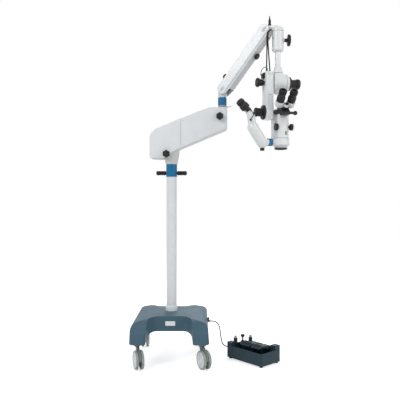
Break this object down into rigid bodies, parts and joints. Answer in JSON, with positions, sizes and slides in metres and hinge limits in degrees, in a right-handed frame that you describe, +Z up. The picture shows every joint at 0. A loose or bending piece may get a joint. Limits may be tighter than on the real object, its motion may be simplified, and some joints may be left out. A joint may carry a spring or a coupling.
{
  "type": "surgical microscope",
  "caption": "Surgical microscope on a rolling floor stand, with swing arm, balanced spring arm, binocular and assistant eyepieces, and a corded foot control.",
  "frame": {"origin": "the column's axis on the floor", "axes": "+X along the swing arm at rest, +Y to the rear, +Z up"},
  "size_m": [0.9339, 0.5755, 1.922],
  "materials": {
    "iron_frame": "satin",
    "base_shell": "matte",
    "white_paint": "satin",
    "white_shell": "satin",
    "blue_ring": "satin",
    "bronze_bush": "satin",
    "black_plastic": "matte",
    "tyre_grey": "matte",
    "fork_grey": "matte",
    "arm_metal": "satin",
    "steel": "satin",
    "scope_white": "satin",
    "black_metal": "satin",
    "lens_glass": "gloss",
    "pedal_blue": "matte",
    "pedal_grey": "matte",
    "cord_black": "matte"
  },
  "bodies": {
    "stand": {"chassis_frame": "iron_frame", "base_cover": "base_shell", "column_tube": "white_paint", "foot_collar": "white_paint", "sleeve_ring": "blue_ring", "column_bush": "bronze_bush", "push_grips": "black_plastic", "pedal_tray": "pedal_blue", "cord_glands": "black_plastic", "pedal_cord": "cord_black"},
    "dimmer": {"dimmer_knob": "black_plastic"},
    "swing_arm": {"arm_beam": "arm_metal", "arm_neck": "arm_metal", "rear_cover": "white_shell", "front_cover": "white_shell"},
    "rear_lock": {"rear_lock_knob": "black_plastic"},
    "front_lock": {"front_lock_knob": "black_plastic"},
    "post": {"post_fork": "arm_metal", "post_ring": "blue_ring"},
    "post_lock": {"post_lock_screw": "steel"},
    "spring_arm": {"spring_arm_cover": "white_shell", "spring_arm_channel": "arm_metal", "gas_spring": "steel"},
    "tie": {"tie_rod": "arm_metal"},
    "tension": {"tension_knob": "black_plastic"},
    "brake": {"brake_knob": "black_plastic"},
    "head_carrier": {"carrier_bracket": "scope_white", "bearing_housing": "scope_white", "head_cables": "cord_black"},
    "star": {"star_knob": "black_plastic"},
    "head": {"pole": "scope_white", "drive_housing": "scope_white", "focus_box": "scope_white", "lamp_holder": "black_plastic"},
    "focus_knob": {"focus_wheel": "black_plastic"},
    "carriage": {"focus_carriage": "arm_metal"},
    "tilt_knob": {"tilt_wheel": "black_plastic"},
    "scope": {"scope_body": "scope_white", "objective_drum": "scope_white", "objective_ring": "black_metal", "binocular_hub": "black_metal"},
    "zoom": {"zoom_knobs": "black_plastic"},
    "ocular_l": {"ocular_left": "black_metal"},
    "ocular_r": {"ocular_right": "black_metal"},
    "assistant": {"assistant_scope": "scope_white", "assistant_eyepiece": "black_metal"},
    "treadle_l": {"left_treadle": "pedal_blue"},
    "treadle_r": {"right_treadle": "pedal_blue"},
    "gimbal": {"joystick_gimbal": "black_plastic"},
    "stick": {"joystick": "black_plastic"},
    "button_front": {"pedal_button_front": "pedal_grey"},
    "button_rear": {"pedal_button_rear": "pedal_grey"},
    "caster_front_left": {"caster_fork_front_left": "fork_grey"},
    "wheels_front_left": {"caster_wheels_front_left": "tyre_grey"},
    "caster_front_right": {"caster_fork_front_right": "fork_grey"},
    "wheels_front_right": {"caster_wheels_front_right": "tyre_grey"},
    "caster_rear_left": {"caster_fork_rear_left": "fork_grey"},
    "wheels_rear_left": {"caster_wheels_rear_left": "tyre_grey"},
    "caster_rear_right": {"caster_fork_rear_right": "fork_grey"},
    "wheels_rear_right": {"caster_wheels_rear_right": "tyre_grey"}
  },
  "joints": [
    {"name": "dimmer_turn", "type": "hinge", "parent": "stand", "child": "dimmer", "pos_m": [0.2, -0.064, 0.226], "axis": [1, 0, 0], "range_deg": [-135, 135]},
    {"name": "swivel_front_left", "type": "hinge", "parent": "stand", "child": "caster_front_left", "pos_m": [-0.172, -0.222, 0.1], "axis": [0, 0, 1], "continuous": true},
    {"name": "roll_front_left", "type": "hinge", "parent": "caster_front_left", "child": "wheels_front_left", "pos_m": [-0.16174, -0.25019, 0.05], "axis": [-0.9397, -0.342, 0], "continuous": true},
    {"name": "swivel_front_right", "type": "hinge", "parent": "stand", "child": "caster_front_right", "pos_m": [0.172, -0.222, 0.1], "axis": [0, 0, 1], "continuous": true},
    {"name": "roll_front_right", "type": "hinge", "parent": "caster_front_right", "child": "wheels_front_right", "pos_m": [0.18515, -0.24896, 0.05], "axis": [-0.8988, -0.4384, 0], "continuous": true},
    {"name": "swivel_rear_left", "type": "hinge", "parent": "stand", "child": "caster_rear_left", "pos_m": [-0.172, 0.222, 0.1], "axis": [0, 0, 1], "continuous": true},
    {"name": "roll_rear_left", "type": "hinge", "parent": "caster_rear_left", "child": "wheels_rear_left", "pos_m": [-0.172, 0.192, 0.05], "axis": [-1, 0, 0], "continuous": true},
    {"name": "swivel_rear_right", "type": "hinge", "parent": "stand", "child": "caster_rear_right", "pos_m": [0.172, 0.222, 0.1], "axis": [0, 0, 1], "continuous": true},
    {"name": "roll_rear_right", "type": "hinge", "parent": "caster_rear_right", "child": "wheels_rear_right", "pos_m": [0.17617, 0.19229, 0.05], "axis": [-0.9903, -0.1392, 0], "continuous": true},
    {"name": "arm_swing", "type": "hinge", "parent": "stand", "child": "swing_arm", "pos_m": [0, 0, 1.1], "axis": [0, 0, 1], "range_deg": [-150, 150]},
    {"name": "rear_lock_turn", "type": "hinge", "parent": "swing_arm", "child": "rear_lock", "pos_m": [-0.027, -0.06, 1.16], "axis": [0, -1, 0], "range_deg": [-180, 180]},
    {"name": "front_lock_turn", "type": "hinge", "parent": "swing_arm", "child": "front_lock", "pos_m": [0.276, -0.055, 1.374], "axis": [0, -1, 0], "range_deg": [-180, 180]},
    {"name": "post_turn", "type": "hinge", "parent": "swing_arm", "child": "post", "pos_m": [0.293, 0, 1.4], "axis": [0, 0, 1], "range_deg": [-40, 90]},
    {"name": "post_lock_turn", "type": "hinge", "parent": "swing_arm", "child": "post_lock", "pos_m": [0.32, 0, 1.4365], "axis": [1, 0, 0], "range_deg": [-60, 60]},
    {"name": "arm_lift", "type": "hinge", "parent": "post", "child": "spring_arm", "pos_m": [0.30488, -0.00529, 1.533], "axis": [-0.4067, -0.9135, 0], "range_deg": [-65, 3]},
    {"name": "tie_swing", "type": "hinge", "parent": "post", "child": "tie", "pos_m": [0.30488, -0.00529, 1.509], "axis": [-0.4067, -0.9135, 0], "range_deg": [-65, 3]},
    {"name": "carrier_level", "type": "hinge", "parent": "spring_arm", "child": "head_carrier", "pos_m": [0.53197, -0.1064, 1.83997], "axis": [-0.4067, -0.9135, 0], "range_deg": [-3, 65]},
    {"name": "tension_turn", "type": "hinge", "parent": "spring_arm", "child": "tension", "pos_m": [0.31327, -0.00903, 1.60791], "axis": [-0.71, 0.3161, 0.6293], "range_deg": [-180, 180]},
    {"name": "brake_turn", "type": "hinge", "parent": "spring_arm", "child": "brake", "pos_m": [0.48045, -0.08346, 1.70678], "axis": [0.71, -0.3161, -0.6293], "range_deg": [-180, 180]},
    {"name": "star_turn", "type": "hinge", "parent": "head_carrier", "child": "star", "pos_m": [0.64317, -0.13365, 1.779], "axis": [1, 0, 0], "range_deg": [-180, 180]},
    {"name": "head_turn", "type": "hinge", "parent": "head_carrier", "child": "head", "pos_m": [0.59317, -0.13365, 1.7], "axis": [0, 0, 1], "range_deg": [-10, 90]},
    {"name": "focus_slide", "type": "slide", "parent": "head", "child": "carriage", "axis": [0, 0, 1], "range_m": [-0.02, 0.02]},
    {"name": "focus_turn", "type": "hinge", "parent": "head", "child": "focus_knob", "pos_m": [0.65186, -0.12117, 1.541], "axis": [0.9781, 0.2079, 0], "range_deg": [-120, 120]},
    {"name": "scope_tilt", "type": "hinge", "parent": "carriage", "child": "scope", "pos_m": [0.55405, -0.14196, 1.378], "axis": [0.9781, 0.2079, 0], "range_deg": [-16, 25]},
    {"name": "tilt_turn", "type": "hinge", "parent": "carriage", "child": "tilt_knob", "pos_m": [0.50514, -0.15236, 1.378], "axis": [-0.9781, -0.2079, 0], "range_deg": [-150, 150]},
    {"name": "zoom_turn", "type": "hinge", "parent": "scope", "child": "zoom", "pos_m": [0.65935, -0.15638, 1.296], "axis": [0.9781, 0.2079, 0], "range_deg": [-135, 135]},
    {"name": "ocular_left_turn", "type": "hinge", "parent": "scope", "child": "ocular_l", "pos_m": [0.6251, -0.21652, 1.3973], "axis": [0.147, -0.6917, 0.7071], "range_deg": [-7, 18]},
    {"name": "ocular_right_turn", "type": "hinge", "parent": "scope", "child": "ocular_r", "pos_m": [0.6251, -0.21652, 1.3973], "axis": [0.147, -0.6917, 0.7071], "range_deg": [-18, 7]},
    {"name": "assistant_swing", "type": "hinge", "parent": "scope", "child": "assistant", "pos_m": [0.60895, -0.14052, 1.213], "axis": [0, 0, 1], "range_deg": [-10, 40]},
    {"name": "left_treadle_press", "type": "hinge", "parent": "stand", "child": "treadle_l", "pos_m": [0.50064, -0.0572, 0.08], "axis": [0.6691, -0.7431, 0], "range_deg": [0, 6], "stiffness_Nm_per_rad": 1.5, "springref_deg": -20.05},
    {"name": "right_treadle_press", "type": "hinge", "parent": "stand", "child": "treadle_r", "pos_m": [0.54079, -0.10179, 0.08], "axis": [0.6691, -0.7431, 0], "range_deg": [0, 6], "stiffness_Nm_per_rad": 1.5, "springref_deg": -20.05},
    {"name": "joystick_side", "type": "hinge", "parent": "stand", "child": "gimbal", "pos_m": [0.40891, -0.02407, 0.072], "axis": [0.6691, -0.7431, 0], "range_deg": [-12, 12], "stiffness_Nm_per_rad": 0.5},
    {"name": "joystick_fore", "type": "hinge", "parent": "gimbal", "child": "stick", "pos_m": [0.40891, -0.02407, 0.072], "axis": [0.7431, 0.6691, 0], "range_deg": [-12, 12], "stiffness_Nm_per_rad": 0.5},
    {"name": "button_front_press", "type": "slide", "parent": "stand", "child": "button_front", "axis": [0, 0, -1], "range_m": [0, 0.004], "stiffness_N_per_m": 400, "springref_m": -0.005},
    {"name": "button_rear_press", "type": "slide", "parent": "stand", "child": "button_rear", "axis": [0, 0, -1], "range_m": [0, 0.004], "stiffness_N_per_m": 400, "springref_m": -0.005}
  ],
  "couplings": [
    {"joint": "tie_swing", "follows": "arm_lift", "ratio": 1},
    {"joint": "carrier_level", "follows": "arm_lift", "ratio": -1},
    {"joint": "focus_turn", "follows": "focus_slide", "rad_per_m": 100},
    {"joint": "tilt_turn", "follows": "scope_tilt", "ratio": 6},
    {"joint": "ocular_right_turn", "follows": "ocular_left_turn", "ratio": -1}
  ]
}
